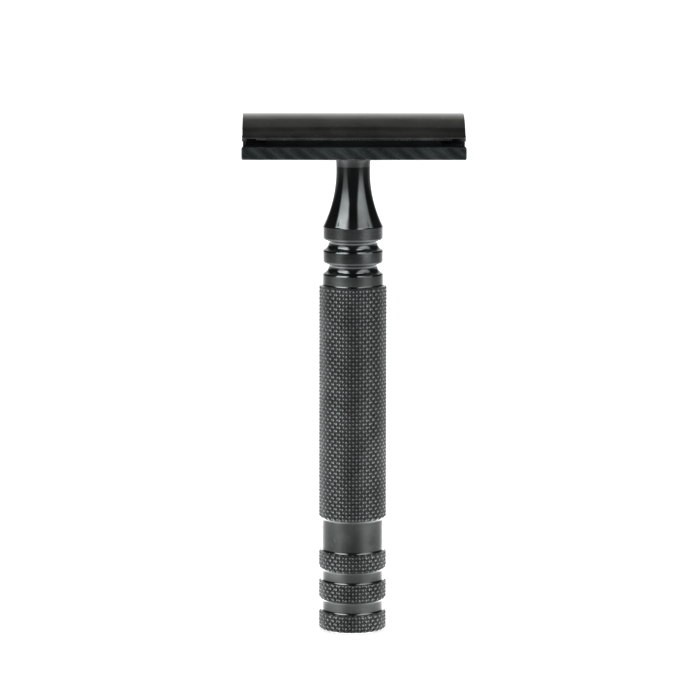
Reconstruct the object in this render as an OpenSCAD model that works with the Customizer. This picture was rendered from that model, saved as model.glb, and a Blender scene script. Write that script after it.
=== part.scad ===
// Three-piece double-edge safety razor, standing upright on its handle.
// Origin: centre of the flat base face. +Z up the handle, X along the blade.
// All sizes in millimetres.

/* [Head] */
// Length of the cap along the blade edge
cap_len = 42.6; // [42.0:0.1:44.0]
// Height of the cap crown above the base
crown_z = 101.5; // [101.2:0.1:101.8]
// Half width of the cap between its lips
cap_half_w = 10.4; // [10.2:0.05:10.5]
// Radius of the polished top of the cap
cap_r = 16; // [15.6:0.1:16.6]
// Length of the guard bars
guard_len = 42.9; // [42.4:0.1:44.0]
// Distance from the centre line to the outer face of a guard bar
guard_half_w = 12.3; // [12.0:0.1:12.8]
// Height of a guard bar above the underside of the base plate
guard_h = 2.5; // [2.2:0.1:2.7]
// Number of slanted scallops along each guard bar
scallops = 13; // [9:1:16]
// Spacing of the scallops
scallop_pitch = 3.25; // [2.8:0.05:3.4]
// Half length of the raised platform under the blade
platform_half_l = 16.75; // [16:0.25:17.5]

/* [Blade] */
// Overall length of the blade over its end tabs
blade_len = 42.8; // [42.5:0.1:43.2]
// Flat width of the blade over both cutting edges
blade_w = 22; // [21.8:0.1:22.2]
// Thickness of the blade
blade_t = 0.1; // [0.08:0.01:0.12]
// Length of each cutting edge
edge_len = 37.3; // [36:0.1:38]
// Radius the blade is bent to between cap and base plate
bend_r = 26.5; // [26:0.5:28]
// Height of the bent blade's middle above the base
blade_z = 99.39; // [99.2:0.01:99.5]

/* [Stud and posts] */
// Major diameter of the stud thread
stud_d = 4.9; // [4.8:0.05:4.9]
// Thread pitch of the stud
stud_pitch = 0.8; // [0.7:0.1:0.8]
// Turns of thread engaged in the neck
stud_turns = 9; // [7:1:9]
// Diameter of each locating post
post_d = 3; // [2.6:0.1:3.2]
// Distance from the stud to each locating post
post_x = 10.5; // [10:0.1:11]

/* [Neck and collar] */
// Height of the underside of the base plate above the base
plate_z = 93.4; // [93.2:0.1:93.6]
// Diameter of the slim part of the neck
neck_d = 6.8; // [6.6:0.1:7.2]
// Radius of the concave bell of the neck
bell_r = 24; // [23:0.1:25]
// Diameter of the polished collar bands
band_d = 11.9; // [11.7:0.1:12.1]
// Diameter at the floor of the two collar grooves
groove_d = 9.9; // [9.7:0.1:10.1]

/* [Handle] */
// Outer diameter over the knurling
knurl_d = 13.1; // [12.8:0.1:13.4]
// Diameter of the plain band and of the grooves in the pommel
plain_d = 11.9; // [11.7:0.1:12.1]
// Height of the top of the pommel above the base
pommel_h = 21.8; // [21.6:0.1:22.4]
// Length of the knurled grip
grip_len = 46.1; // [46:0.1:46.3]
// Height of each knurled ring with its chamfer
ring_h = 3.8; // [3.4:0.1:4.2]
// Spacing of the knurled rings
ring_pitch = 6; // [5.8:0.1:6.2]
// Diameter of the threaded rod inside the handle
rod_d = 4.8; // [4.6:0.1:4.9]
// Diameter of the spigots that centre the grip
spigot_d = 9; // [8.6:0.1:9.2]

/* [Hidden] */
$fn = 96;
overlap = 0.01;                   // joins touching solids
thread_gap = 0.05;                // running clearance on radius
fit = 0.02;                       // assembly clearance on radius
blade_gap = 0.03;                 // clearance on each side of the blade
bend_z = blade_z - bend_r;        // height of the axis the blade bends about
grip_z = pommel_h;                // foot of the grip
collar_z = grip_z + grip_len;     // foot of the collar
spigot_root = 1;                  // length of a spigot inside its parent part
rod_foot = 13;
rod_top = 77;
stud_tip = plate_z - stud_turns * stud_pitch;
stud_top = blade_z + 0.85;        // top of the stud and of the posts
bright = [0.66, 0.67, 0.68];      // colour of the stud and posts

// Cylinder lying along X, centred on X, with its axis at y, z
module bar_x(radius, length, y, z) {
    translate([-length / 2, y, z]) rotate([0, 90, 0]) cylinder(r = radius, h = length);
}

// Block centred on X and Y, from height low to high
module block(length, width, low, high) {
    translate([-length / 2, -width / 2, low]) cube([length, width, high - low]);
}

// Cylinder on the Z axis, from height low to high
module shaft(diameter, low, high) {
    translate([0, 0, low]) cylinder(d = diameter, h = high - low);
}

// Shaft with a small chamfer at both ends
module pin(diameter, low, high, chamfer) {
    radius = diameter / 2;
    rotate_extrude() polygon([
        [0, low], [radius - chamfer, low], [radius, low + chamfer],
        [radius, high - chamfer], [radius - chamfer, high], [0, high]]);
}

// Hollow fillet round a shaft, standing on height z
module fillet_ring(shaft_r, z, fillet_r) {
    inset = 0.2;                  // reach into the shaft
    sink = 0.05;                  // reach below z
    rotate_extrude() difference() {
        translate([shaft_r - inset, z - sink]) square([fillet_r + inset, fillet_r + sink]);
        translate([shaft_r + fillet_r, z + fillet_r]) circle(r = fillet_r);
    }
}

// Turned solid from low to high, hollowed round to an arc that is
// narrowest, neck_d across, at waist_z
module hollow_turned(outer_r, low, high, arc_r, waist_z) {
    rotate_extrude() difference() {
        translate([0, low]) square([outer_r, high - low]);
        translate([neck_d / 2 + arc_r, waist_z]) circle(r = arc_r, $fn = 180);
    }
}

// Children at both locating posts
module at_posts() {
    for (side = [-1, 1]) translate([side * post_x, 0, 0]) children();
}

// ---------------------------------------------------------------- handle

knurl_r = knurl_d / 2;
knurl_fillet = (knurl_d - plain_d) / 2 - 0.1; // at a step up to the knurling
ring_drop = 0.2;                  // each ring's top lies this far below ring_h
ring_top = ring_h - ring_drop;

// Turned foot of the handle with three knurled rings and a plain band
module pommel() {
    core_foot = 1;
    spigot_h = 6.2;
    bore_z = rod_foot - 1;
    color([0.16, 0.17, 0.17]) difference() {
        union() {
            // first ring, with the rounded edge it stands on
            rotate_extrude() polygon([
                [0, 0], [knurl_r - 0.8, 0], [knurl_r - 0.25, 0.2], [knurl_r, 0.6],
                [knurl_r, ring_top], [0, ring_top]]);
            // the two rings above it, chamfered below
            for (k = [1, 2]) translate([0, 0, k * ring_pitch - ring_drop])
                rotate_extrude() polygon([
                    [0, 0], [plain_d / 2, 0], [knurl_r, 0.65],
                    [knurl_r, ring_h], [0, ring_h]]);
            // hollow fillet on top of each ring
            for (k = [0 : 2])
                fillet_ring(plain_d / 2, k * ring_pitch + ring_top, knurl_fillet);
            // core that shows as the grooves and the plain band
            shaft(plain_d, core_foot, pommel_h);
            // spigot that centres the grip
            shaft(spigot_d, pommel_h - spigot_root, pommel_h + spigot_h);
        }
        // tapped hole for the rod
        shaft(rod_d + 2 * fit, bore_z, bore_z + 20);
    }
}

// Threaded rod that pulls pommel, grip and neck together
module core_rod() {
    color([0.62, 0.63, 0.64]) pin(rod_d, rod_foot, rod_top, chamfer = 0.4);
}

// Knurled tube with a wide chamfer at the bottom and a fine one at the top
module grip_sleeve() {
    bore_r = spigot_d / 2 + fit;
    foot_chamfer = 0.6;
    top_chamfer = 0.1;
    color([0.13, 0.14, 0.14]) rotate_extrude() polygon([
        [bore_r, grip_z], [plain_d / 2, grip_z], [knurl_r, grip_z + foot_chamfer],
        [knurl_r, collar_z - top_chamfer], [knurl_r - top_chamfer, collar_z],
        [bore_r, collar_z]]);
}

// ------------------------------------------------------------------ neck

rim_z = 79.5;                     // top rim of the collar, foot of the bell
band_pitch = 4.48;                // spacing of the collar grooves
upper_waist_z = rim_z - 3.35;     // waist of the upper groove
bell_top = rim_z + sqrt(pow(bell_r, 2) - pow(bell_r - (band_d - neck_d) / 2, 2));
neck_top = plate_z - 0.02;        // just clear of the base plate
flare_out = 0.16;                 // growth of the neck's radius towards the head
flare_z = 90.4;                   // height at which it starts to widen
flare_r = (pow(plate_z - flare_z, 2) + pow(flare_out, 2)) / (2 * flare_out);

// Collar groove with its waist at z: hollow flare rising to the waist from the
// chamfered rim below, then an undercut up to the rounded edge of the band above
module groove_cutter(z) {
    band_r = band_d / 2;
    floor_r = groove_d / 2;
    hollow_r = 1.25;
    chamfer_w = 0.15;
    chamfer_h = 0.27;
    lip_r = band_r - chamfer_w;
    foot = z - sqrt(pow(hollow_r, 2) - pow(floor_r + hollow_r - lip_r, 2));
    outside_r = band_r + 1;
    band_edge = z + 1.15;         // where the band above reaches full radius
    reach = 0.3;                  // reach of the kept flare below its foot
    inner_r = floor_r - 1;
    rotate_extrude() difference() {
        polygon([
            [floor_r + 0.1, z + 0.43], [band_r - 0.35, z + 0.71], [band_r - 0.1, z + 0.85],
            [band_r, band_edge], [outside_r, band_edge],
            [outside_r, foot - chamfer_h], [band_r, foot - chamfer_h],
            [lip_r, foot], [floor_r, foot], [floor_r, z + 0.08]]);
        // solid under the hollow flare
        difference() {
            translate([inner_r, foot - reach]) square([lip_r - inner_r, z - foot + reach]);
            translate([floor_r + hollow_r, z]) circle(r = hollow_r);
        }
    }
}

// Polished neck: collar of three bands, then a concave bell up to the head
module neck() {
    spigot_h = 6;
    seam = 0.05;                  // gap between the grip and the lowest band
    stud_bore_z = stud_tip - 0.8;
    color([0.06, 0.07, 0.07]) difference() {
        union() {
            // spigot inside the grip
            shaft(spigot_d, collar_z - spigot_h, collar_z + spigot_root);
            // collar
            shaft(band_d, collar_z, rim_z);
            // hollow foot of the lowest band
            fillet_ring(band_d / 2, collar_z + seam, knurl_fillet - seam);
            // bell
            hollow_turned(band_d / 2, rim_z - overlap, bell_top, bell_r, bell_top);
            // slim part
            shaft(neck_d, bell_top - overlap, neck_top);
            // slight flare up to the seat under the head
            hollow_turned(neck_d / 2 + flare_out, flare_z, neck_top, flare_r, flare_z);
        }
        // the two grooves of the collar
        for (k = [0, 1]) groove_cutter(upper_waist_z - k * band_pitch);
        // tapped hole for the stud
        shaft(stud_d + 2 * thread_gap, stud_bore_z, stud_bore_z + 20);
        // tapped hole for the rod
        shaft(rod_d + 2 * fit, collar_z - 10, collar_z + 9.5);
    }
}

// ------------------------------------------------------------------ head

// Slanted scallops of the guard bar on the -Y side, as cutters
module scallop_cutters() {
    radius = 1.1;
    depth = 0.15;
    length = 6.4;
    tilt = 52;
    for (k = [0 : scallops - 1])
        translate([(k - (scallops - 1) / 2) * scallop_pitch,
                   -guard_half_w - radius + depth, plate_z + guard_h / 2])
            rotate([0, -tilt, 0]) translate([0, 0, -length / 2])
                cylinder(r = radius, h = length);
}

// Base plate: guard bars, raised platform for the blade, drain slots
module base_plate() {
    guard_top = plate_z + guard_h;
    floor_h = 1.2;
    platform_w = 17.6;
    edge_r = 0.5;                 // rounding of the guard bars
    inner_w = 1.4;                // width of a guard bar inside its rounded edge
    edge_y = guard_half_w - edge_r;
    slot_half_l = platform_half_l - 2.25;
    slot_w = 1.5;
    slot_y = 9.75;
    below = plate_z - 1;          // foot of the cutters
    color([0.1, 0.11, 0.11]) difference() {
        union() {
            // floor
            block(guard_len, 2 * edge_y, plate_z, plate_z + floor_h);
            // raised platform, curved to carry the blade
            intersection() {
                block(2 * platform_half_l, platform_w, plate_z, plate_z + 8);
                bar_x(bend_r - blade_t / 2 - blade_gap, 2 * platform_half_l + 2, 0, bend_z);
            }
            // guard bars with rounded outer edges
            for (side = [-1, 1]) {
                translate([0, side * (edge_y - inner_w / 2), 0])
                    block(guard_len, inner_w, plate_z, guard_top);
                translate([0, side * edge_y, 0])
                    block(guard_len, 2 * edge_r, plate_z + edge_r, guard_top - edge_r);
                for (z = [plate_z + edge_r, guard_top - edge_r])
                    bar_x(edge_r, guard_len, side * edge_y, z);
            }
        }
        // scallops on both outer faces
        for (turn = [0, 180]) rotate([0, 0, turn]) scallop_cutters();
        // drain slots between platform and guard bars
        for (side = [-1, 1]) translate([0, side * slot_y, 0])
            block(2 * slot_half_l, slot_w, below, plate_z + 3);
        // hole for the stud and holes for the posts
        shaft(stud_d + 0.4, below, below + 10);
        at_posts() shaft(post_d + 0.2, below, below + 10);
    }
}

// Outline of the blade seen from above
module blade_outline() {
    half_w = bend_r * sin(blade_w / 2 / bend_r * 180 / PI); // half width once bent
    tab_half_w = 5.8;
    slot_len = 34;
    slot_w = 2;
    slot_end_d = 3.2;
    difference() {
        union() {
            square([edge_len, 2 * half_w], center = true);
            square([blade_len, 2 * tab_half_w], center = true);
        }
        // long slot with a wide middle and rounded lobes
        square([slot_len, slot_w], center = true);
        circle(d = stud_d + 0.7);
        for (side = [-1, 1]) {
            translate([side * post_x, 0]) circle(d = post_d + 0.3);
            translate([side * slot_len / 2, 0]) circle(d = slot_end_d);
        }
    }
}

// Steel blade, held bent between cap and base plate
module blade() {
    color([0.7, 0.71, 0.72]) intersection() {
        difference() {
            bar_x(bend_r + blade_t / 2, blade_len + 2, 0, bend_z);
            bar_x(bend_r - blade_t / 2, blade_len + 4, 0, bend_z);
        }
        // keeps only the top of the bent shell
        translate([0, 0, bend_z + 20]) linear_extrude(20) blade_outline();
    }
}

// Cap: polished curved top, hollow underside, four corner lugs
module cap() {
    under_r = bend_r + blade_t / 2 + blade_gap;
    lip_z = bend_z + sqrt(pow(under_r, 2) - pow(cap_half_w, 2));
    lug_x = cap_len / 2 - 0.4;
    lug_y = 7.9;
    bore_z = blade_z - 2;
    bore_top = stud_top + 0.05;
    color([0.07, 0.07, 0.06]) difference() {
        union() {
            difference() {
                intersection() {
                    bar_x(cap_r, cap_len, 0, crown_z - cap_r);
                    block(cap_len, 2 * cap_half_w, lip_z - 1, crown_z + 1);
                }
                // underside, a little clear of the blade
                bar_x(under_r, cap_len + 2, 0, bend_z);
            }
            // lugs that hold the blade tabs sideways: thick root, thinner tip
            for (x = [-lug_x, lug_x], y = [-lug_y, lug_y]) translate([x, y, 0]) {
                block(1, 3.2, lip_z - 0.65, lip_z + 1.2);
                block(0.6, 3, lip_z - 1.85, lip_z);
            }
        }
        // tapped hole for the stud
        shaft(stud_d + 2 * fit, bore_z, bore_top);
        // holes the posts are pressed into
        at_posts() shaft(post_d + 2 * fit, bore_z, bore_top);
    }
}

// Threaded stud fixed in the cap
module cap_stud() {
    color(bright) pin(stud_d, stud_tip, stud_top, chamfer = 0.35);
}

// Plain post that goes through the blade into the base plate
module locating_post(x) {
    foot = plate_z + 0.5;
    translate([x, 0, 0]) pin(post_d, foot, stud_top, chamfer = 0.3);
}

// Post on the -X side
module locating_post_left() {
    color(bright) locating_post(-post_x);
}

// Post on the +X side
module locating_post_right() {
    color(bright) locating_post(post_x);
}

pommel();
core_rod();
grip_sleeve();
neck();
base_plate();
blade();
cap();
cap_stud();
locating_post_left();
locating_post_right();
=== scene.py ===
"""Safety razor with a knurled handle and a double-edged blade.

The handle stands on the origin along +Z. The head lies across its top, long in X and curved
in Y, so the two blade edges run along X. The camera looks from -Y. Sizes are in millimetres
up to the studio section, which is in metres.
"""
from contextlib import contextmanager
from math import acos, asin, atan2, ceil, cos, floor, hypot, pi, radians, sin, sqrt, tan, tau

import bmesh
import bpy
import numpy as np
from mathutils import Matrix, Vector


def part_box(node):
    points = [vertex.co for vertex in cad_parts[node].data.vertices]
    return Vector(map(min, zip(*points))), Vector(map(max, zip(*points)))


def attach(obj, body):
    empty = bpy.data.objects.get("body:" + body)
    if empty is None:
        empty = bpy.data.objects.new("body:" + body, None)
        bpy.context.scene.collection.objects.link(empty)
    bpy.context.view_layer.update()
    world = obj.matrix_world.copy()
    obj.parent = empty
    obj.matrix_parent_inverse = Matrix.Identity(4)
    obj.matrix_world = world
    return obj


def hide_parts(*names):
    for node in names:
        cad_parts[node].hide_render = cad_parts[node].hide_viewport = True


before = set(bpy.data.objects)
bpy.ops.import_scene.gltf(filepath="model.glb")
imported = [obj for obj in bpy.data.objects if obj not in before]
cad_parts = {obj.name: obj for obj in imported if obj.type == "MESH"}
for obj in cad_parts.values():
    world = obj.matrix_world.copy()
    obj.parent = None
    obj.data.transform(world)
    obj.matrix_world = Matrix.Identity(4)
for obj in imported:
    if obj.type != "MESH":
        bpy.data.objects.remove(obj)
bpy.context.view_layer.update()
MM = 0.001
SCENE = bpy.context.scene

# ---------------------------------------------------------------- sizes


def box_mm(node):
    low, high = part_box(node)
    return [c / MM for c in low], [c / MM for c in high]


pommel_low, pommel_high = box_mm("pommel")
grip_low, grip_high = box_mm("grip_sleeve")
neck_low, neck_high = box_mm("neck")
plate_low, plate_high = box_mm("base_plate")
cap_low, cap_high = box_mm("cap")
blade_high = box_mm("blade")[1]
stud_low, stud_high = box_mm("cap_stud")
rod_low, rod_high = box_mm("core_rod")
left_low, left_high = box_mm("locating_post_left")
right_low, right_high = box_mm("locating_post_right")

# handle
KNURL_R = grip_high[0]         # crest radius
KNURL_COUNT = 30               # diamonds around
KNURL_PITCH = 1.40             # height of one diamond
KNURL_DEPTH = 0.36
KNURL_STEPS = 2 * KNURL_COUNT  # half diamonds around
KNURL_ROW = KNURL_PITCH / 2
OUT = KNURL_R + 0.07           # just outside the crests
PLAIN_R = 5.95                 # grooves of the pommel
STEP = KNURL_R - PLAIN_R - 0.1  # hollow fillet at a step up to the knurling
RING_PITCH = 6.0
GRIP_BOTTOM, GRIP_TOP = grip_low[2], grip_high[2]
SPIGOT_R = 4.5
ROD_R = rod_high[0]
STUD_R = stud_high[0]
POST_R = (right_high[0] - right_low[0]) / 2
POST_X = (right_high[0] + right_low[0]) / 2
FIT = 0.02                     # clearance of a close fit
BAND_R = 5.95                  # collar bands of the neck
GROOVE_R = 4.95
BAND_PITCH = 4.48
RIM_Z = 79.5                   # top of the collar
WAIST_Z = RIM_Z - 3.35         # waist of the upper collar groove
NECK_R = 3.4
NECK_TOP = neck_high[2]
BELL_R = 24.0
FLARE_Z, FLARE_OUT = 90.4, 0.16  # where the neck widens to its seat, and by how much
THREAD_PITCH = 0.8

# head
LUG_PROUD = 0.1                # the cap's lugs stand out this far at each end
CAP_HALF = (cap_high[0] - cap_low[0] - 2 * LUG_PROUD) / 2
CAP_HALF_W = cap_high[1]
CAP_R = 16.0
CROWN_Z = cap_high[2]
LUG_Y = (6.3, 9.5)
PLATE_Z = plate_low[2]
GUARD_L = plate_high[0] - plate_low[0]
GUARD_HALF_W = plate_high[1]
GUARD_H = 2.5
PLATFORM_HALF_W = 8.8
BLADE_T = 0.1
BLADE_MID = blade_high[2] - BLADE_T / 2
BLADE_HALF_W = 11.0            # before bending
EDGE_W = 0.8                   # ground strip along each edge
SLOT_END = 17
BEND_R = 26.5                  # bend of the middle of the sheet
BEND_Z = BLADE_MID - BEND_R
SHEET_GAP = 0.08               # middle of the sheet to the cap above and platform below
CORNERS = [(side_x, side_y) for side_x in (-1, 1) for side_y in (-1, 1)]

# ---------------------------------------------------------------- mesh helpers


def mesh_object(name, verts, faces):
    mesh = bpy.data.meshes.new(name)
    mesh.from_pydata([[float(c) * MM for c in vert] for vert in verts], [], faces)
    mesh.validate()
    mesh.update()
    piece = bpy.data.objects.new(name, mesh)
    SCENE.collection.objects.link(piece)
    return piece


@contextmanager
def editing(piece):
    mesh = bmesh.new()
    mesh.from_mesh(piece.data)
    yield mesh
    mesh.to_mesh(piece.data)
    mesh.free()


def tidy(piece, merge=1e-7, angle=28):
    """Merges doubles, points every face outward and shades by angle."""
    with editing(piece) as mesh:
        bmesh.ops.remove_doubles(mesh, verts=mesh.verts, dist=merge)
        bmesh.ops.dissolve_degenerate(mesh, edges=mesh.edges, dist=merge)
        bmesh.ops.recalc_face_normals(mesh, faces=mesh.faces)
    piece.data.polygons.foreach_set("use_smooth", [True] * len(piece.data.polygons))
    piece.data.set_sharp_from_angle(angle=radians(angle))
    piece.data.update()
    return piece


def boolean(piece, tool, operation):
    """Applies the tool to the piece and removes the tool."""
    modifier = piece.modifiers.new("cut", "BOOLEAN")
    modifier.operation = operation
    modifier.solver = "EXACT"
    modifier.object = tool
    graph = bpy.context.evaluated_depsgraph_get()
    mesh = bpy.data.meshes.new_from_object(
        piece.evaluated_get(graph), preserve_all_data_layers=True, depsgraph=graph)
    piece.modifiers.clear()
    piece.data = mesh
    bpy.data.objects.remove(tool)
    return piece


def rounded(points, seg=5):
    """Polyline through corners (r, z) or (r, z, fillet). The two end points stay sharp."""
    line = []
    for i, point in enumerate(points):
        fillet = point[2] if len(point) > 2 else 0
        if fillet <= 0 or i in (0, len(points) - 1):
            line.append(point[:2])
            continue
        corner = np.array(point[:2], float)
        back = np.array(points[i - 1][:2], float) - corner
        ahead = np.array(points[i + 1][:2], float) - corner
        back_len, ahead_len = np.linalg.norm(back), np.linalg.norm(ahead)
        back, ahead = back / back_len, ahead / ahead_len
        half = acos(max(-1, min(1, float(back @ ahead)))) / 2
        if half > pi / 2 - 0.02:  # nearly straight
            line.append(point[:2])
            continue
        reach = min(fillet / tan(half), back_len * 0.48, ahead_len * 0.48)
        radius = reach * tan(half)
        centre = corner + (back + ahead) / np.linalg.norm(back + ahead) * (radius / sin(half))
        start = atan2(*(corner + back * reach - centre)[::-1])
        end = atan2(*(corner + ahead * reach - centre)[::-1])
        turn = (end - start + pi) % tau - pi
        for k in range(seg + 1):
            angle = start + turn * k / seg
            line.append((centre[0] + radius * cos(angle), centre[1] + radius * sin(angle)))
    return line


def wall(start, count):
    """Quads from the ring of vertices at index start to the ring stored after it."""
    quads = []
    for k in range(start, start + count):
        after = start + (k - start + 1) % count
        quads.append((k, after, after + count, k + count))
    return quads


def lathe(name, profile, seg, angle=28):
    """Solid of revolution. A profile with both ends off the axis is closed on itself."""
    verts, rings = [], []
    for radius, z in profile:
        if radius < 1e-6:
            rings.append([len(verts)])
            verts.append((0, 0, z))
        else:
            rings.append(list(range(len(verts), len(verts) + seg)))
            for k in range(seg):
                turn = tau * k / seg
                verts.append((radius * cos(turn), radius * sin(turn), z))
    pairs = list(zip(rings[:-1], rings[1:]))
    if len(rings[0]) > 1 or len(rings[-1]) > 1:
        pairs.append((rings[-1], rings[0]))
    faces = []
    for this, other in pairs:
        for k in range(seg):
            j = (k + 1) % seg
            if len(this) == 1:
                faces.append((this[0], other[k], other[j]))
            elif len(other) == 1:
                faces.append((this[k], other[0], this[j]))
            else:
                faces.append((this[k], other[k], other[j], this[j]))
    return tidy(mesh_object(name, verts, faces), angle=angle)


def prism(name, loop, half_length, angle, ends, steps=4):
    """Solid along X with the (y, z) loop as its section and its end edges rounded by ends."""
    loop = np.array(loop, float)
    after, before = np.roll(loop, -1, 0), np.roll(loop, 1, 0)
    tangent = after - before
    tangent /= np.maximum(np.linalg.norm(tangent, axis=1, keepdims=True), 1e-9)
    area = 0.5 * np.sum(loop[:, 0] * after[:, 1] - after[:, 0] * loop[:, 1])
    inward = np.stack([-tangent[:, 1], tangent[:, 0]], 1) * (1 if area > 0 else -1)
    quarter = [pi / 2 * k / steps for k in range(steps + 1)]
    curve = [(half_length - ends * (1 - cos(turn)), ends * (1 - sin(turn))) for turn in quarter]
    stations = [(-x, inset) for x, inset in curve] + curve[::-1]
    count = len(loop)
    verts, faces = [], []
    for x, inset in stations:
        verts += [(x, y, z) for y, z in loop + inward * inset]
    last = (len(stations) - 1) * count
    for start in range(0, last, count):
        faces += wall(start, count)
    faces.append(tuple(range(count - 1, -1, -1)))
    faces.append(tuple(range(last, last + count)))
    return tidy(mesh_object(name, verts, faces), angle=angle)


def drill(piece, holes, bottom, top, seg=96):
    """Cuts round holes (x, radius) along Z."""
    for x, radius in holes:
        bore = lathe("bore", [(0, bottom), (radius, bottom), (radius, top), (0, top)], seg)
        bore.data.transform(Matrix.Translation((x * MM, 0, 0)))
        piece = boolean(piece, bore, "DIFFERENCE")
    return piece


def stud_and_post_holes(stud_gap, post_gap):
    return (0, STUD_R + stud_gap), (-POST_X, POST_R + post_gap), (POST_X, POST_R + post_gap)


def brick(name, low, high, bevel=0.0, seg=3):
    corners = [(0, 0), (1, 0), (1, 1), (0, 1)]
    ends = (low, high)
    verts = [(ends[i][0], ends[j][1], end[2]) for end in ends for i, j in corners]
    faces = [(3, 2, 1, 0), (4, 5, 6, 7), (0, 1, 5, 4), (1, 2, 6, 5), (2, 3, 7, 6), (3, 0, 4, 7)]
    piece = mesh_object(name, verts, faces)
    if bevel > 0:
        with editing(piece) as mesh:
            bmesh.ops.bevel(mesh, geom=list(mesh.edges), offset=bevel * MM, segments=seg,
                            profile=0.5, affect="EDGES")
    return tidy(piece)


def corner_brick(name, corner, x_span, y_span, z_span, bevel=0.0):
    """Brick given for the +X +Y corner, mirrored to the given corner."""
    x_span = sorted(corner[0] * x for x in x_span)
    y_span = sorted(corner[1] * y for y in y_span)
    return brick(name, *zip(x_span, y_span, z_span), bevel)


def paint(piece, slots, rule):
    """Gives each face the one of the slots that rule(centre in mm, normal) picks."""
    piece.data.materials.clear()
    for material in slots:
        piece.data.materials.append(material)
    picked = [slots.index(rule([c / MM for c in face.center], face.normal))
              for face in piece.data.polygons]
    piece.data.polygons.foreach_set("material_index", picked)
    piece.data.update()


# ---------------------------------------------------------------- materials


class Tree:
    """Short calls for adding shader nodes. Any input is a number or a socket."""

    def __init__(self, tree):
        self.tree = tree

    def node(self, kind, **settings):
        node = self.tree.nodes.new(kind)
        for key, value in settings.items():
            setattr(node, key, value)
        return node

    def put(self, socket, value):
        if isinstance(value, bpy.types.NodeSocket):
            self.tree.links.new(value, socket)
        else:
            socket.default_value = value

    def math(self, operation, first, second=0.0, clamp=False):
        node = self.node("ShaderNodeMath", operation=operation, use_clamp=clamp)
        for socket, value in zip(node.inputs, (first, second, 0.0)):
            self.put(socket, value)
        return node.outputs[0]

    def times(self, first, second):
        return self.math("MULTIPLY", first, second)

    def add(self, total, *terms):
        for term in terms:
            total = self.math("ADD", total, term)
        return total

    def ramp(self, value, span, out=(0.0, 1.0), smooth=True):
        """Runs from out[0] to out[1] while the value crosses the span."""
        node = self.node("ShaderNodeMapRange", clamp=True,
                         interpolation_type="SMOOTHSTEP" if smooth else "LINEAR")
        names = ("Value", "From Min", "From Max", "To Min", "To Max")
        for name, setting in zip(names, (value, *span, *out)):
            self.put(node.inputs[name], setting)
        return node.outputs["Result"]

    def noise(self, vector, scale, detail=3.0, rough=0.5):
        node = self.node("ShaderNodeTexNoise")
        self.put(node.inputs["Vector"], vector)
        node.inputs["Scale"].default_value = scale
        node.inputs["Detail"].default_value = detail
        node.inputs["Roughness"].default_value = rough
        return node.outputs["Fac"]

    def combine(self, *parts):
        node = self.node("ShaderNodeCombineXYZ")
        for socket, part in zip(node.inputs, parts):
            self.put(socket, part)
        return node.outputs[0]

    def separate(self, vector):
        node = self.node("ShaderNodeSeparateXYZ")
        self.put(node.inputs[0], vector)
        return node.outputs

    def mix(self, factor, *colours):
        node = self.node("ShaderNodeMix", data_type="RGBA")
        self.put(node.inputs["Factor"], factor)
        sockets = [socket for socket in node.inputs if socket.type == "RGBA"]
        for socket, colour in zip(sockets, colours):
            is_socket = isinstance(colour, bpy.types.NodeSocket)
            self.put(socket, colour if is_socket else (*colour, 1.0))
        return [socket for socket in node.outputs if socket.type == "RGBA"][0]

    def bump(self, height, strength, distance):
        node = self.node("ShaderNodeBump")
        node.inputs["Strength"].default_value = strength
        node.inputs["Distance"].default_value = distance
        self.put(node.inputs["Height"], height)
        return node.outputs["Normal"]


def new_material(name):
    material = bpy.data.materials.new(name)
    material.use_nodes = True
    nodes = material.node_tree.nodes
    return material, Tree(material.node_tree), nodes["Principled BSDF"].inputs


TURNED_GRAIN = (0.4, 6000.0)   # noise scale around the rings, and across them
LONG_GRAIN = (60.0, 5200.0)    # noise scale along X, and across it
DARKER, LIGHTER = 0.8, 1.22    # factors on the base colour
SPECK_COLOUR = (0.35, 0.35, 0.34)


def grain_noise(t, position, grain):
    if grain == "blasted":
        return t.noise(position, scale=9000.0, detail=3.0, rough=0.6)
    x, y, z = t.separate(position)
    if grain == "turned":
        around, across = TURNED_GRAIN
        angle = t.math("ARCTAN2", y, x)
        radius = t.math("SQRT", t.add(t.times(x, x), t.times(y, y)))
        vector = t.combine(t.times(t.math("COSINE", angle), around),
                           t.times(t.math("SINE", angle), around),
                           t.times(t.add(z, radius), across))
    else:
        along, across = LONG_GRAIN
        vector = t.combine(t.times(x, along), t.times(y, across), t.times(z, across))
    return t.noise(vector, scale=1.0, detail=4.0, rough=0.7)


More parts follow.
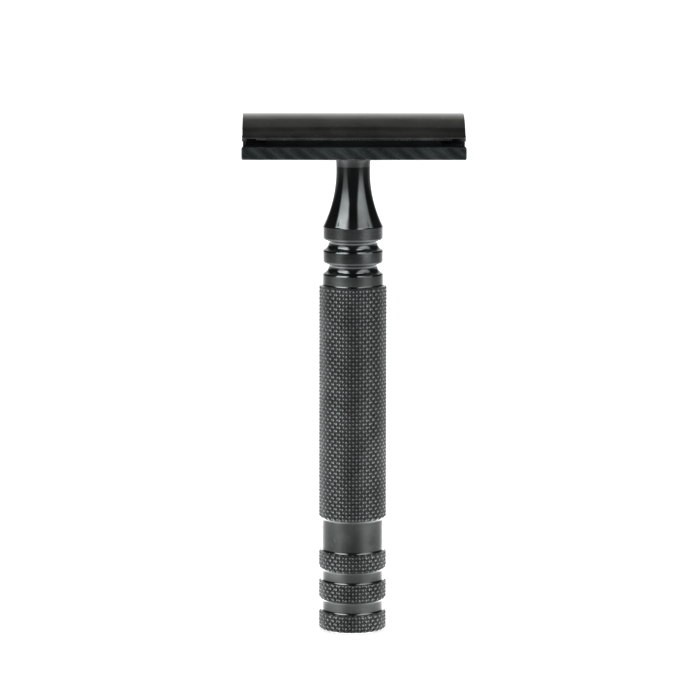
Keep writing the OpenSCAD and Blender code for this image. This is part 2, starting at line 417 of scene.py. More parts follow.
def metal(name, base, rough, grain, spread, lines, metallic=1.0, ior=1.5, speck=0.0):
    """Metal with a grain: turned (rings round Z), long (lines along X) or blasted (fine pits).

    spread is the share by which the grain varies the roughness, lines its bump strength and
    speck the strength of the light flecks.
    """
    material, t, inputs = new_material(name)
    position = t.node("ShaderNodeTexCoord").outputs["Object"]
    fine = grain_noise(t, position, grain)
    cloud = t.noise(position, scale=160.0, detail=3.0, rough=0.55)
    # roughness follows the grain and drifts a little over the surface
    rough_span = (rough * (1 - spread), rough * (1 + spread))
    t.put(inputs["Roughness"], t.add(
        t.ramp(fine, span=(0.25, 0.75), out=rough_span, smooth=False),
        t.ramp(cloud, span=(0.3, 0.7), out=(-0.03, 0.03), smooth=False)))
    dark = tuple(c * DARKER for c in base)
    light = tuple(min(1, c * LIGHTER) for c in base)
    colour = t.mix(t.ramp(cloud, span=(0.3, 0.7)), dark, light)
    grain_tint = 0.35
    colour = t.mix(t.times(t.ramp(fine, span=(0.55, 0.8)), grain_tint), colour, light)
    if speck > 0:
        fleck = t.noise(position, scale=2600.0, detail=2.0, rough=0.5)
        colour = t.mix(t.times(t.ramp(fleck, span=(0.66, 0.72)), speck), colour, SPECK_COLOUR)
    t.put(inputs["Base Color"], colour)
    inputs["Metallic"].default_value = metallic
    inputs["IOR"].default_value = ior
    inputs["Coat Roughness"].default_value = 0.08
    t.put(inputs["Normal"], t.bump(fine, strength=lines, distance=0.00002))
    return material


CAP_BLACK = metal("cap_black", (0.085, 0.088, 0.076), rough=0.10, grain="long",
                  spread=0.3, lines=0.06, speck=0.3)
# Lighter black along the cap's lips: a painted highlight line.
LIP_HIGHLIGHT = metal("cap_lip_painted_highlight", (0.145, 0.153, 0.15), rough=0.16, grain="long",
                  spread=0.3, lines=0.06)
# Near-black for the cap's underside: painted shade under the cap.
UNDERSIDE_SHADE = metal("cap_underside_painted_shade", (0.02, 0.022, 0.02), rough=0.5, grain="blasted",
                  spread=0.2, lines=0.2)
POLISHED = metal("polished_black", (0.085, 0.092, 0.092), rough=0.09, grain="turned",
                 spread=0.25, lines=0.05)
COLLAR = metal("collar_black", (0.132, 0.14, 0.14), rough=0.24, grain="turned",
               spread=0.2, lines=0.2, speck=0.3)
# Lighter black for the collar grooves' walls: painted reflection of the floor and the band below.
GROOVE_WALL_REFLECTION = metal("groove_wall_painted_reflection", (0.15, 0.158, 0.165), rough=0.16, grain="turned",
                    spread=0.2, lines=0.15)
GUARD_BLACK = metal("guard_black", (0.042, 0.051, 0.050), rough=0.42, grain="blasted",
                    spread=0.25, lines=0.3, speck=0.15)
# Near-black, non-metal colour for the plate's hollows: painted shade where the cap and bars block
# the light.
RECESS_SHADE = metal("recess_painted_shade", (0.014, 0.016, 0.0155), rough=0.6, grain="blasted",
               spread=0.2, lines=0.2, metallic=0.0, ior=1.0)
KNURLED = metal("knurled_black", (0.072, 0.078, 0.077), rough=0.46, grain="blasted",
                spread=0.25, lines=0.25, speck=0.4)
# Much lighter black for the knurl's flat tops and groove crossings: painted highlight spots, on
# the tops partly worn metal.
CREST_WEAR_AND_HIGHLIGHT = metal("knurl_crest_wear_and_painted_highlight", (0.33, 0.347, 0.343), rough=0.46, grain="blasted",
              spread=0.25, lines=0.2, speck=0.3)
SATIN = metal("satin_black", (0.118, 0.125, 0.123), rough=0.36, grain="turned",
              spread=0.2, lines=0.25, speck=0.3)
# Lighter copy of the satin for the pommel's plain grooves: painted reflection of the bright
# floor.
RING_GROOVE_REFLECTION = metal("ring_groove_painted_reflection", (0.150, 0.158, 0.156), rough=0.36, grain="turned",
                    spread=0.2, lines=0.25, speck=0.3)
TURNED_EDGE = metal("turned_edge_black", (0.10, 0.107, 0.106), rough=0.12, grain="turned",
                    spread=0.25, lines=0.10)
BLADE_STEEL = metal("blade_steel", (0.62, 0.63, 0.64), rough=0.22, grain="long",
                    spread=0.3, lines=0.15)
GROUND_EDGE = metal("blade_ground_edge", (0.5, 0.51, 0.52), rough=0.24, grain="long",
                    spread=0.3, lines=0.1)
BRIGHT = metal("bright_steel", (0.56, 0.57, 0.58), rough=0.25, grain="turned",
               spread=0.3, lines=0.2)

# ---------------------------------------------------------------- pommel and grip


def knurled_bar(name, bottom, top, start):
    """Solid bar with a lattice of flat-topped diamonds on its side, counted from height start."""
    floor_r = KNURL_R - KNURL_DEPTH
    first, last = floor((bottom - start) / KNURL_ROW), ceil((top - start) / KNURL_ROW)
    flat, pit = 0.30, 0.22  # half sizes of the flats and the crossings, in half diamonds
    compass = ((1, 0), (0, 1), (-1, 0), (0, -1))
    verts, faces, index = [], [], {}

    def put(i, j, east, north):
        """Corner of the small floor where two grooves cross, at step i around and row j."""
        key = (i % KNURL_STEPS, j, east, north)
        if key not in index:
            angle = tau * (key[0] + east * pit) / KNURL_STEPS
            index[key] = len(verts)
            verts.append((floor_r * cos(angle), floor_r * sin(angle),
                          start + (j + north * pit) * KNURL_ROW))
        return index[key]

    def diamond(i, j):
        ring = [put(i + east, j + north, -east, -north) for east, north in compass]
        crest = []
        for east, north in compass:
            angle = tau * i / KNURL_STEPS + east * (tau / KNURL_STEPS) * flat
            crest.append(len(verts))
            verts.append((KNURL_R * cos(angle), KNURL_R * sin(angle),
                          start + j * KNURL_ROW + north * KNURL_ROW * flat))
        for k in range(4):
            m = (k + 1) % 4
            faces.append((ring[k], ring[m], crest[m], crest[k]))
        faces.append(tuple(crest))

    for j in range(first, last + 1):
        for i in range(KNURL_STEPS):
            if (i + j) % 2 == 0:
                if first < j < last:
                    diamond(i, j)
                continue
            faces.append(tuple(
                put(i, j, east, north) for east, north in compass
                if not (j == first and north < 0 or j == last and north > 0)))
            if j < last:
                faces.append((put(i, j, -1, 0), put(i, j, 0, 1),
                              put(i - 1, j + 1, 1, 0), put(i - 1, j + 1, 0, -1)))
                faces.append((put(i, j, 1, 0), put(i + 1, j + 1, 0, -1),
                              put(i + 1, j + 1, -1, 0), put(i, j, 0, 1)))
    # both ends run on at the groove floor and are closed flat
    for j, out in ((first, -1), (last, 1)):
        rim = []
        for i in range((j + 1) % 2, KNURL_STEPS, 2):
            rim += [put(i, j, -1, 0), put(i, j, 1, 0), put(i + 1, j - out, 0, out)]
        end_z = start + (j + out) * KNURL_ROW
        centre = len(verts)
        verts.append((0, 0, end_z))
        verts.extend([(*verts[v][:2], end_z) for v in rim])
        for k, this in enumerate(rim):
            m = (k + 1) % len(rim)
            quad = (this, rim[m], centre + 1 + m, centre + 1 + k)
            if out < 0:
                faces.extend([quad[::-1], (centre, quad[3], quad[2])])
            else:
                faces.extend([quad, (centre, quad[2], quad[3])])
    return tidy(mesh_object(name, verts, faces), angle=8)


def hollow(shaft, z, size, steps=8):
    """Hollow quarter from the flat at height z up onto the shaft."""
    quarter = [pi / 2 * k / steps for k in range(steps + 1)]
    return [(shaft + size - size * sin(turn), z + size - size * cos(turn)) for turn in quarter]


def root(z, size=0.5, lean=44, steps=6):
    """Hollow start of a chamfer that leaves the plain shaft at height z."""
    turns = [radians(lean * k / steps) for k in range(steps + 1)]
    return [(PLAIN_R + size * (1 - cos(turn)), z + size * sin(turn)) for turn in turns]


def knurl_rule(centre, normal):
    radius = hypot(centre[0], centre[1])
    if radius > KNURL_R - KNURL_DEPTH - 0.04 and abs(normal.z) < 0.69:
        step = atan2(centre[1], centre[0]) * KNURL_STEPS / tau
        outward = normal.x * centre[0] + normal.y * centre[1] > 0.93 * radius
        # outward flats at diamond tops and groove crossings: painted highlight spots, partly wear
        # on the tops
        crest = outward and abs(step - round(step)) < 0.15 and abs(normal.z) < 0.3
        return CREST_WEAR_AND_HIGHLIGHT if crest else KNURLED
    if abs(normal.z) < 0.07:
        # the pommel's plain grooves get the lighter painted reflection
        return RING_GROOVE_REFLECTION if centre[2] < 14 else SATIN
    chamfer = normal.z < -0.3 and radius > KNURL_R - KNURL_DEPTH - 0.08
    return SATIN if chamfer else TURNED_EDGE


def knurled_part(name, profile, bar_bottom, bar_top, bar_start):
    """What the turned profile leaves of a longer knurled bar."""
    part = boolean(lathe(name + "_turned", profile, 240),
                   knurled_bar(name + "_bar", bar_bottom, bar_top, bar_start), "INTERSECT")
    tidy(part, 2e-7, 12)
    paint(part, (KNURLED, SATIN, TURNED_EDGE, RING_GROOVE_REFLECTION, CREST_WEAR_AND_HIGHLIGHT), knurl_rule)
    return part


def make_pommel():
    """Three knurled rings, two grooves, a plain band and the spigot inside the grip."""
    ring_top, ring_height = 3.6, 3.8
    socket_z, spigot_z = 12.0, pommel_high[2]
    profile = rounded([(0, pommel_low[2]), (KNURL_R - 0.8, 0.0, 0.25),
                       (KNURL_R - 0.28, 0.18, 0.35), (OUT, 0.62, 0.3), (OUT, ring_top)])
    profile += hollow(PLAIN_R, ring_top, STEP)
    for k in (1, 2):
        z = k * RING_PITCH - 0.2
        profile += root(z - 0.12)
        profile += rounded([(PLAIN_R, z), (OUT, z + 0.82, 0.03), (OUT, z + ring_height)])[1:]
        profile += hollow(PLAIN_R, z + ring_height, STEP)
    profile += [(PLAIN_R, GRIP_BOTTOM), (SPIGOT_R, GRIP_BOTTOM), (SPIGOT_R, spigot_z - 0.1),
                (SPIGOT_R - 0.1, spigot_z), (ROD_R + 0.3, spigot_z),
                (ROD_R + FIT, spigot_z - 0.3), (ROD_R + FIT, socket_z), (0, socket_z)]
    return knurled_part("pommel", profile, -2.0, 30.0, 0.35)


def make_grip():
    """Knurled tube, square at the top and chamfered at the bottom."""
    bore = SPIGOT_R + FIT
    profile = [(bore, GRIP_BOTTOM)] + root(GRIP_BOTTOM)
    profile += [(OUT, GRIP_BOTTOM + 0.9, 0.03), (OUT, GRIP_TOP - 0.1, 0.02),
                (KNURL_R - 0.1, GRIP_TOP, 0.02), (bore, GRIP_TOP)]
    return knurled_part("grip", rounded(profile), GRIP_BOTTOM - 2, GRIP_TOP + 2,
                        GRIP_BOTTOM + 0.1)


# ---------------------------------------------------------------- neck, rod, stud and posts


def collar_groove(z, steps=16):
    """Groove with its waist at z, from the rim of the band below to the edge of the one above."""
    size, rim, under = 1.25, 0.15, 1.2
    start = asin((GROOVE_R + size - BAND_R + rim) / size)
    turns = [start + (pi / 2 - start) * k / steps for k in range(steps + 1)]
    flare = [(GROOVE_R + size - size * sin(turn), z - size * cos(turn)) for turn in turns]
    foot = flare[0][1]
    points = rounded([(BAND_R, foot - 0.8), (BAND_R, foot - 0.27, 0.12),
                      (BAND_R - rim, foot, 0.04), flare[2]], 4)[1:-1]
    points += flare[2:]
    # undercut: leans out by 16 degrees at its top, then turns to the underside
    for turn in map(radians, range(0, 17, 4)):
        points.append((GROOVE_R + under * (1 - cos(turn)), z + 0.08 + under * sin(turn)))
    points += rounded([(GROOVE_R + 0.03, z + 0.25), (GROOVE_R + 0.1, z + 0.45, 0.05),
                       (BAND_R - 0.35, z + 0.71, 0.04), (BAND_R - 0.1, z + 0.85, 0.15),
                       (BAND_R, z + 1.15, 0.2), (BAND_R, z + 1.7)], 5)[1:-1]
    return points


def neck_rule(centre, normal):
    radius, z = hypot(centre[0], centre[1]), centre[2]
    band = abs(normal.z) < 0.1 and radius > BAND_R - 0.02 and z < RIM_Z
    if band or z > NECK_TOP - 2.1 and radius > NECK_R - 0.1:
        return COLLAR if z > WAIST_Z - BAND_PITCH else SATIN
    # groove walls get the lighter painted reflection
    in_groove = z < RIM_Z and radius < GROOVE_R + 0.12 and -0.45 < normal.z < 0.12
    return GROOVE_WALL_REFLECTION if in_groove else POLISHED


def make_neck():
    """Spigot, collar of three bands, concave bell and a slightly flared seat."""
    foot, bore = neck_low[2], ROD_R + FIT
    size = STEP - 0.05
    profile = [(0, 77.5), (bore, 77.5), (bore, foot + 0.3), (ROD_R + 0.3, foot),
               (SPIGOT_R - 0.3, foot), (SPIGOT_R, foot + 0.3), (SPIGOT_R, GRIP_TOP),
               (PLAIN_R + STEP - 0.05, GRIP_TOP), (PLAIN_R + STEP - 0.05, GRIP_TOP + 0.05)]
    profile += hollow(BAND_R, GRIP_TOP + 0.05, size)
    profile += collar_groove(WAIST_Z - BAND_PITCH - 0.08) + collar_groove(WAIST_Z)
    profile += [(BAND_R, RIM_Z - 0.03), (BAND_R - 0.03, RIM_Z)]
    bell_top = RIM_Z + sqrt(BELL_R ** 2 - (BELL_R - (BAND_R - NECK_R)) ** 2)
    for k in range(1, 41):
        z = RIM_Z + (bell_top - RIM_Z) * k / 40
        chord = sqrt(max(0.0, BELL_R ** 2 - (bell_top - z) ** 2))
        profile.append((NECK_R + BELL_R - chord, z))
    for k in range(1, 9):
        z = FLARE_Z + (NECK_TOP - FLARE_Z) * k / 8
        share = (z - FLARE_Z) / (NECK_TOP - FLARE_Z)
        profile.append((NECK_R + FLARE_OUT * share ** 2, z))
    socket_z = stud_low[2] - 0.8
    profile += [(STUD_R + 0.35, NECK_TOP), (STUD_R + 0.05, NECK_TOP - 0.3),
                (STUD_R + 0.05, socket_z), (0, socket_z)]
    neck = lathe("neck_turned", profile, 256, 30)
    paint(neck, (POLISHED, COLLAR, GROOVE_WALL_REFLECTION, SATIN), neck_rule)
    return neck


def thread(name, radius, bottom, top, fade_end, seg, per_turn):
    """Rod with a right-hand thread that fades out below fade_end, on a grid of rings."""
    depth, chamfer = 0.42, 0.45
    rows = int(ceil((top - bottom) / THREAD_PITCH * per_turn))
    verts = [(0, 0, bottom)]
    for k in range(rows + 1):
        z = bottom + (top - bottom) * k / rows
        fade = min(1.0, max(0.0, (fade_end - z) / (0.8 * THREAD_PITCH)))
        for s in range(seg):
            phase = (z / THREAD_PITCH - s / seg) % 1.0
            crest = min(1.0, max(0.0, (abs(phase - 0.5) * 2 - 0.12) / 0.72))
            here = min(radius - depth * (1 - crest) * fade,
                       radius - chamfer + (z - bottom), radius - chamfer + (top - z))
            angle = tau * s / seg
            verts.append((here * cos(angle), here * sin(angle), z))
    verts.append((0, 0, top))
    faces = []
    last = 1 + rows * seg
    for s in range(seg):
        j = (s + 1) % seg
        faces.append((0, 1 + j, 1 + s))
        faces.append((len(verts) - 1, last + s, last + j))
    for start in range(1, last, seg):
        faces += wall(start, seg)
    piece = tidy(mesh_object(name, verts, faces), angle=50)
    piece.data.materials.append(BRIGHT)
    return piece


def make_post(side, sign):
    bottom, top = left_low[2], left_high[2]
    profile = rounded([(0, bottom), (POST_R - 0.35, bottom, 0.1), (POST_R, bottom + 0.35, 0.15),
                       (POST_R, top - 0.2), (POST_R - 0.2, top), (0, top)])
    post = lathe("locating_post_" + side + "_turned", profile, 72)
    for vert in post.data.vertices:
        vert.co.x += sign * POST_X * MM
    post.data.materials.append(BRIGHT)
    return post


# ---------------------------------------------------------------- head


def arc(centre_z, radius, start, end, steps):
    """Points (y, z) of an upper arc around y = 0, from y = start to y = end."""
    spots = [start + (end - start) * k / steps for k in range(steps + 1)]
    return [(y, centre_z + sqrt(radius * radius - y ** 2)) for y in spots]


def make_cap():
    """Thick curved plate with a square lip and four lugs under its corners."""
    crown = arc(CROWN_Z - CAP_R, CAP_R, -CAP_HALF_W, CAP_HALF_W, 96)
    under = arc(BEND_Z, BEND_R + SHEET_GAP, CAP_HALF_W, -CAP_HALF_W, 80)
    loop = [(*crown[0], 0.13), *crown[1:-1], (*crown[-1], 0.13),
            (*under[0], 0.09), *under[1:-1], (*under[-1], 0.09)]
    start = 40  # starts on the crown, so that all four corners are rounded
    loop = rounded(loop[start:] + loop[:start + 1], 4)[:-1]
    cap = prism("cap_shell", loop, CAP_HALF, angle=30, ends=0.08)
    lip_z = under[0][1]
    for corner in CORNERS:
        cap = boolean(cap, corner_brick(
            "lug", corner, (CAP_HALF + LUG_PROUD, CAP_HALF - 0.9), LUG_Y,
            (lip_z - 0.65, lip_z + 0.7), 0.2), "UNION")
        cap = boolean(cap, corner_brick(
            "lug_foot", corner, (CAP_HALF - 0.1, CAP_HALF - 0.7),
            (LUG_Y[0] + 0.1, LUG_Y[1] - 0.1), (lip_z - 1.85, lip_z), 0.1), "UNION")
    cap = drill(cap, stud_and_post_holes(FIT, FIT), BLADE_MID - 2, BLADE_MID + 0.9)
    tidy(cap, 2e-7, 26)

    def cap_rule(centre, normal):
        """Near-black underside as painted shade, lighter lip lines as painted highlight, satin
        lugs.
        """
        # downward faces under the cap get the near-black painted shade
        if normal.z < -0.2 and centre[2] > lip_z + 0.12:
            return UNDERSIDE_SHADE
        # a thin strip along both lips gets the lighter painted highlight
        if abs(centre[1]) > CAP_HALF_W - 0.25 and normal.z < 0.5:
            return LIP_HIGHLIGHT
        lug = abs(centre[0]) > CAP_HALF - 1.0 and centre[2] < lip_z + 0.02
        return SATIN if lug else CAP_BLACK

    paint(cap, (CAP_BLACK, UNDERSIDE_SHADE, LIP_HIGHLIGHT, SATIN), cap_rule)
    return cap


def guard_bar(sign):
    """Guard bar on one Y side, with slanted hollow scallops in its outer face."""
    width, fillet, fillet_steps, face_steps = 1.9, 0.5, 8, 18
    scallop_pitch, scallop_half_w, scallop_depth = 3.25, 0.95, 0.14
    slope = radians(52)
    steps, end_r = 560, 0.35
    bottom, top = PLATE_Z, PLATE_Z + GUARD_H
    inner_y, face_y, mid_z = GUARD_HALF_W - width, GUARD_HALF_W - fillet, PLATE_Z + GUARD_H / 2
    quarter = [pi / 2 * k / fillet_steps for k in range(fillet_steps + 1)]
    flat = top - bottom - 2 * fillet
    section = [(face_y + fillet * sin(turn), bottom + fillet - fillet * cos(turn))
               for turn in quarter]
    section += [(GUARD_HALF_W, bottom + fillet + flat * k / face_steps)
                for k in range(1, face_steps)]
    section += [(face_y + fillet * cos(turn), top - fillet + fillet * sin(turn))
                for turn in quarter]
    section += [(inner_y + 0.12, top), (inner_y, top - 0.12),
                (inner_y, bottom + 0.1), (inner_y + 0.1, bottom)]
    count = len(section)
    verts, faces = [], []
    for s in range(steps + 1):
        x = -GUARD_L / 2 + GUARD_L * s / steps
        share = max(0.0, abs(x) - (GUARD_L / 2 - end_r)) / end_r
        inset = end_r * (1 - sqrt(max(0.0, 1 - share * share)))
        for flat_y, z in section:
            y = flat_y
            if flat_y > face_y - 0.01:
                for k in range(-6, 7):
                    off = -sign * (x - k * scallop_pitch) * cos(slope) + (z - mid_z) * sin(slope)
                    depth = scallop_depth * max(0.0, 1 - (off / scallop_half_w) ** 2)
                    y = min(y, GUARD_HALF_W - depth)
                y -= inset
            verts.append((x, sign * y, mid_z + (z - mid_z) * (1 - inset / (GUARD_H / 2))))
    for s in range(steps):
        faces += wall(s * count, count)
    faces.append(tuple(range(count)))
    faces.append(tuple(range(steps * count, (steps + 1) * count)))
    return tidy(mesh_object("guard_bar", verts, faces), angle=24)


def plate_rule(centre, normal):
    """The platform's walls, the bores and the inner side of the bars are near-black as painted
    shade.
    """
    x, y, z = abs(centre[0]), abs(centre[1]), centre[2]
    if normal.z > 0.5 and z > PLATE_Z + 1.6 and y < PLATFORM_HALF_W - 0.05:
        return GUARD_BLACK
    # upward faces inside the bars' outer edge get the near-black painted shade
    if normal.z > 0.9 and y < GUARD_HALF_W - 0.45:
        return RECESS_SHADE
    outer = y > GUARD_HALF_W - 1.2 or z < PLATE_Z + 0.15 or x > GUARD_L / 2 - 0.3
    return GUARD_BLACK if outer else RECESS_SHADE


def make_plate():
    """Floor, curved platform and two scalloped guard bars, with a slot beside each bar."""
    body_x, body_y = GUARD_L / 2 - 0.1, GUARD_HALF_W - 1.1
    plate = brick("base_plate_body", (-body_x, -body_y, PLATE_Z + 0.002),
                  (body_x, body_y, PLATE_Z + 1.2), 0.08)
    foot = [(-PLATFORM_HALF_W, PLATE_Z + 0.4), (PLATFORM_HALF_W, PLATE_Z + 0.4)]
    bend = arc(BEND_Z, BEND_R - SHEET_GAP, PLATFORM_HALF_W, -PLATFORM_HALF_W, 48)
    loop = foot + [(*bend[0], 0.18), *bend[1:-1], (*bend[-1], 0.18), foot[0]]
    platform = prism("platform", rounded(loop, 4)[:-1], 16.75, angle=24, ends=0.15)
    plate = boolean(plate, platform, "UNION")
    slot_x, slot_y, slot_half_w = 14.5, 9.75, 0.74
    for sign in (-1, 1):
        plate = boolean(plate, guard_bar(sign), "UNION")
        slot = brick("slot", (-slot_x, sign * slot_y - slot_half_w, PLATE_Z - 1),
                     (slot_x, sign * slot_y + slot_half_w, PLATE_Z + 3), 0.7, 6)
        plate = boolean(plate, slot, "DIFFERENCE")
    plate = drill(plate, stud_and_post_holes(0.2, 0.1), PLATE_Z - 1, PLATE_Z + 9)
    tidy(plate, 2e-7, 24)
    paint(plate, (GUARD_BLACK, RECESS_SHADE), plate_rule)
    return plate


def flat_blade():
    """Flat sheet round z = 0, thinned along both long edges."""
    half, half_t, tip = BLADE_HALF_W, BLADE_T / 2, 0.004
    ground, near_tip = half - EDGE_W, 10.9
    columns = sorted({round(-half + k * 0.5, 4) for k in range(45)}
                     | {-near_tip, -ground, ground, near_tip})
    rows = [-21.4 + 42.8 * k / 86 for k in range(87)]
    verts, faces = [], []
    for side in (1, -1):
        for x in rows:
            for y in columns:
                inward = half - abs(y)
                thick = half_t if inward >= EDGE_W else tip + (half_t - tip) * inward / EDGE_W
                verts.append((x, y, side * thick))
    across = len(columns)
    under = len(rows) * across
    for start, order in ((0, 1), (under, -1)):
        for i in range(len(rows) - 1):
            for j in range(across - 1):
                k = start + i * across + j
                faces.append((k, k + across, k + across + 1, k + 1)[::order])
    for i in range(len(rows) - 1):
        for j in (0, across - 1):
            k = i * across + j
            faces.append((k, k + across, under + k + across, under + k))
    for j in range(across - 1):
        for i in (0, len(rows) - 1):
            k = i * across + j
            faces.append((k, k + 1, under + k + 1, under + k))
    return tidy(mesh_object("blade_ground", verts, faces))


def make_blade():
    """Ground sheet with end tabs and a pierced middle, bent over the platform."""
    blade = flat_blade()
    for corner in CORNERS:
        notch = corner_brick("notch", corner, (18.65, 22.5), (5.8, 12.5), (-1, 1))
        blade = boolean(blade, notch, "DIFFERENCE")
    blade = boolean(blade, brick("slot", (-SLOT_END, -1, -1), (SLOT_END, 1, 1)), "DIFFERENCE")
    holes = ((0, 2.8), (-POST_X, 1.65), (POST_X, 1.65), (-SLOT_END, 1.6), (SLOT_END, 1.6))
    blade = drill(blade, holes, -1, 1, seg=64)
    with editing(blade) as mesh:
        bmesh.ops.triangulate(mesh, faces=[face for face in mesh.faces if len(face.verts) > 4])
        for vert in mesh.verts:
            angle = vert.co.y / MM / BEND_R
            radius = BEND_R + vert.co.z / MM
            vert.co.y = radius * sin(angle) * MM
            vert.co.z = (BEND_Z + radius * cos(angle)) * MM
    tidy(blade, 1e-8, 20)
    edge_y = BEND_R * sin((BLADE_HALF_W - EDGE_W) / BEND_R)
    paint(blade, (BLADE_STEEL, GROUND_EDGE),
          lambda centre, normal: GROUND_EDGE if abs(centre[1]) > edge_y else BLADE_STEEL)
    return blade


# ---------------------------------------------------------------- assembly

pommel = make_pommel()
grip = make_grip()
neck = make_neck()
core = thread("core_rod_threaded", ROD_R, rod_low[2], rod_high[2],
              fade_end=rod_high[2] + 5, seg=32, per_turn=8)
stud = thread("cap_stud_threaded", STUD_R, stud_low[2], stud_high[2],
              fade_end=BLADE_MID - 1.6, seg=64, per_turn=16)
left_post = make_post("left", -1)
right_post = make_post("right", 1)
cap = make_cap()
plate = make_plate()
blade = make_blade()

for piece, body, node, slot_name in (
    (pommel, "handle", "pommel", "satin_black"),
    (grip, "handle", "grip_sleeve", "knurled_black"),
    (neck, "handle", "neck", "polished_black"),
    (core, "handle", "core_rod", "bright_steel"),
    (plate, "guard", "base_plate", "guard_black"),
    (blade, "razor_blade", "blade", "blade_steel"),
    (cap, "cap_assembly", "cap", "cap_black"),
    (stud, "cap_assembly", "cap_stud", "bright_steel"),
    (left_post, "cap_assembly", "locating_post_left", "bright_steel"),
    (right_post, "cap_assembly", "locating_post_right", "bright_steel"),
):
    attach(piece, body)
    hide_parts(node)

# ---------------------------------------------------------------- studio (metres)


def make_floor():
    """Glowing white floor that reflections don't see."""
    bpy.ops.mesh.primitive_plane_add(size=4.0, location=(0, 0.6, -0.00002))
    plane = bpy.context.object
    plane.name = "studio_floor"
    material, t, inputs = new_material("studio_floor")
    soft = t.noise(t.node("ShaderNodeTexCoord").outputs["Object"], scale=3.0)
    t.put(inputs["Base Color"], t.mix(soft, (0.90, 0.90, 0.90), (0.93, 0.93, 0.93)))
    inputs["Roughness"].default_value = 0.7
    inputs["Specular IOR Level"].default_value = 0.2
    inputs["Emission Color"].default_value = (1, 1, 1, 1)
    inputs["Emission Strength"].default_value = 0.55
    plane.data.materials.append(material)
    plane.visible_glossy = False


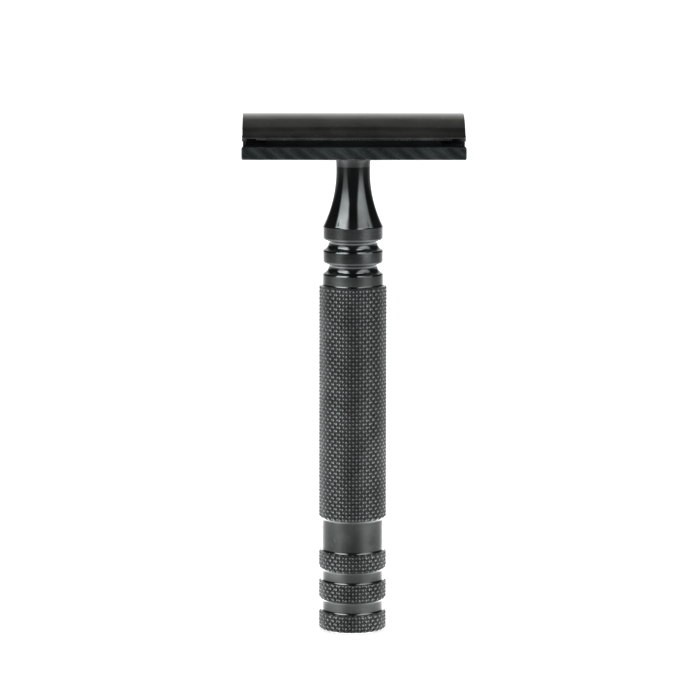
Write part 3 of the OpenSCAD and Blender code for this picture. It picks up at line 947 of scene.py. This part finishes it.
def reflected_studio(t):
    """Brightness seen in reflections. Ramp spans are in degrees, outputs are brightness
    or, for the inner and outer sides of the softboxes, degrees."""
    ramp, times, add = t.ramp, t.times, t.add
    x, y, z = t.separate(t.node("ShaderNodeTexCoord").outputs["Generated"])
    # azimuth: 0 towards the viewer, + to the right
    azimuth = times(t.math("ARCTAN2", x, times(y, -1.0)), 180 / pi)
    height = times(t.math("ARCSINE", z), 180 / pi)
    aside = t.math("ABSOLUTE", azimuth)

    def window(inner, outer, soft_in, soft_out, side):
        """Softbox between two azimuths on one side (-1 left, +1 right)."""
        turn = times(azimuth, side)
        past_inner = t.math("SUBTRACT", turn, inner)
        before_outer = t.math("SUBTRACT", outer, turn)
        return times(ramp(past_inner, (times(soft_in, -1.0), soft_in)),
                     ramp(before_outer, (times(soft_out, -1.0), soft_out)))

    left_window = window(
        inner=add(ramp(height, (-4, 22), (42, 24.5), smooth=False),
                  ramp(height, (32, 42), (0, 5))),
        outer=ramp(height, (0, 31), (66.6, 77), smooth=False),
        soft_in=ramp(height, (31, 42), (6.0, 13.0)), soft_out=6.0, side=-1.0)
    right_window = window(
        inner=add(ramp(height, (0, 22), (38, 24.5), smooth=False),
                  ramp(height, (22, 40), (0.0, -1.5), smooth=False)),
        outer=ramp(height, (0, 40), (68, 92), smooth=False),
        soft_in=7.0, soft_out=7.0, side=1.0)
    right_window = times(right_window, ramp(azimuth, (48, 88), (1.0, 0.55)))
    left_level = add(ramp(height, (-11, 11), (0.1, 1.25), smooth=False),
                     ramp(height, (8, 33), (0.0, 4.8), smooth=False))
    left_level = times(left_level, ramp(height, (56, 68), (1.0, 0.0)))
    right_level = add(ramp(height, (-9, 11), (0.1, 2.25), smooth=False),
                      ramp(height, (8, 18), (0.0, 0.6)),
                      ramp(height, (28, 44), (0.0, -1.3)),
                      ramp(height, (44, 54), (0.0, 3.2)))
    right_level = times(right_level, ramp(height, (58, 70), (1.0, 0.0)))
    rear_level = add(ramp(height, (-6, 12), (1.6, 0.0)),
                     ramp(height, (10, 40), (1.35, 0.45), smooth=False))
    rear = times(ramp(aside, (136, 158)),
                 times(rear_level, ramp(height, (40, 41.5), (1.0, 0.0))))
    skirt = times(ramp(aside, (100, 150)), ramp(height, (-2, 8), (0.8, 0.0)))
    # overhead panel on the far side; its first span is on the direction's y
    overhead = times(ramp(y, (0.0, 0.3)), times(ramp(height, (40, 41.5)),
                                                ramp(height, (62.5, 65), (0.27, 0.11))))
    zenith = ramp(height, (71, 75), (0.0, 0.1))
    table = add(0.7, ramp(aside, (35, 90), (0.0, 1.1)),
                times(ramp(azimuth, (-90, -60), (0.0, 0.7)),
                      ramp(azimuth, (-50, -20), (1.0, 0.0))))
    table_fall = add(ramp(height, (-16, -9), (0.75, 0.0)),
                     ramp(height, (-42, -16), (0.75, 0.0), smooth=False))
    low = add(times(table, table_fall),
              times(ramp(height, (-10, 4), (0.16, 0.0)), ramp(aside, (8, 60))))
    ambient = 0.07
    return add(ambient, skirt, times(left_window, left_level),
               times(right_window, right_level), rear, overhead, zenith, low)


def make_world():
    """White to the camera, softboxes to reflections, even light to everything else."""
    camera_level, diffuse_level = 1.0, 0.75
    world = bpy.data.worlds.new("studio")
    SCENE.world = world
    world.use_nodes = True
    t = Tree(world.node_tree)
    studio = reflected_studio(t)
    rays = t.node("ShaderNodeLightPath").outputs
    glossy = t.math("MAXIMUM", rays["Is Glossy Ray"], rays["Is Transmission Ray"])
    camera = rays["Is Camera Ray"]
    diffuse = t.math("SUBTRACT", 1.0, t.add(camera, glossy), clamp=True)
    background = world.node_tree.nodes["Background"].inputs
    background["Color"].default_value = (1, 1, 1, 1)
    t.put(background["Strength"], t.add(t.times(camera, camera_level), t.times(glossy, studio),
                                        t.times(diffuse, diffuse_level)))


def make_camera():
    distance, pitch, yaw, roll = 0.742, radians(8.4), radians(-0.8), radians(0.1)
    aim_x, aim_z = -0.00055, 0.0552  # aim point, before the yaw
    lens = bpy.data.cameras.new("camera")
    camera = bpy.data.objects.new("camera", lens)
    SCENE.collection.objects.link(camera)
    lens.sensor_width = 36.0
    lens.lens = 196.0
    lens.clip_start = 0.05
    lens.clip_end = 20.0
    target = Vector((aim_x * cos(yaw), aim_x * sin(yaw), aim_z))
    back = Vector((sin(yaw) * cos(pitch), -cos(yaw) * cos(pitch), sin(pitch)))
    camera.location = target + back * distance
    facing = (-back).to_track_quat("-Z", "Y").to_matrix()
    camera.rotation_euler = (facing @ Matrix.Rotation(roll, 3, "Z")).to_euler()
    SCENE.camera = camera


make_floor()
make_world()
make_camera()
SCENE.view_settings.view_transform = "Standard"
SCENE.view_settings.look = "None"
